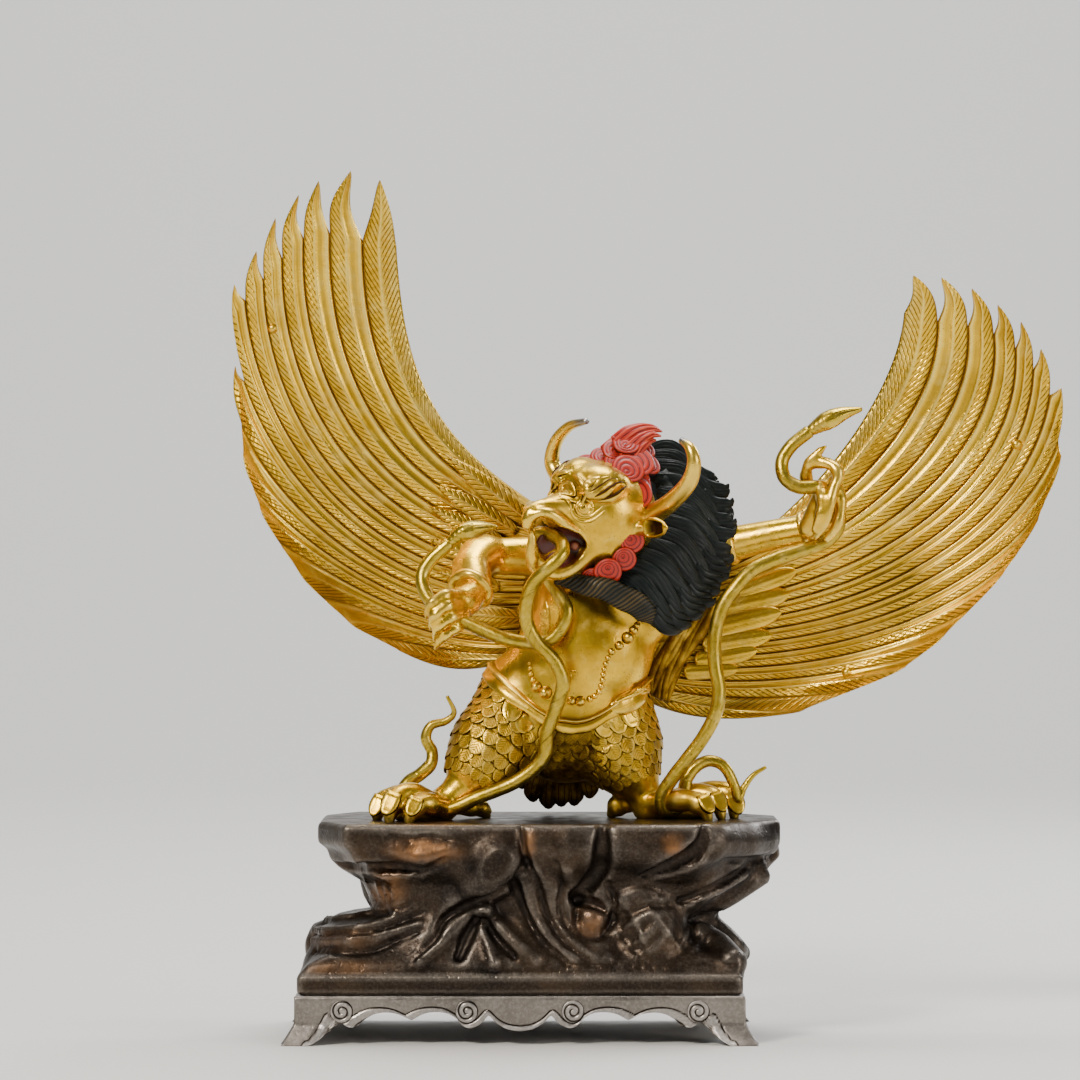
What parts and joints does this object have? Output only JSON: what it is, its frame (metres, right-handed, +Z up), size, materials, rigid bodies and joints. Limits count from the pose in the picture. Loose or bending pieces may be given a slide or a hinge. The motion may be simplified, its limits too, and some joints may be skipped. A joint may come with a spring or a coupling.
{
  "type": "garuda figure",
  "caption": "Gilt bronze bird-headed garuda with spread wings, grasping and treading on snakes, on a rockwork plinth with a scalloped stand.",
  "frame": {"origin": "centre of the bounding box at the stand's underside", "axes": "+Z up, -Y to the side that the picture shows, +X to the viewer's right"},
  "size_m": [0.432, 0.1436, 0.4489],
  "materials": {
    "stand_bronze": "worn grey-brown bronze, satin",
    "dark_bronze": "dark brown patina with rubbed high spots",
    "gilt_body": "old gilding, warm satin, dark in the crevices",
    "gilt_wing": "old gilding, yellow satin over fine barbs",
    "gilt_snake": "dull greenish gilding",
    "black_paint": "green-black paint, matt",
    "red_paint": "coral red paint with pale edges, satin"
  },
  "bodies": {
    "root": {"footed_stand": "stand_bronze", "rock_plinth": "dark_bronze", "garuda_figure": "gilt_body", "left_wing": "gilt_wing", "right_wing": "gilt_wing", "left_snake": "gilt_snake", "right_snake": "gilt_snake"}
  },
  "joints": []
}
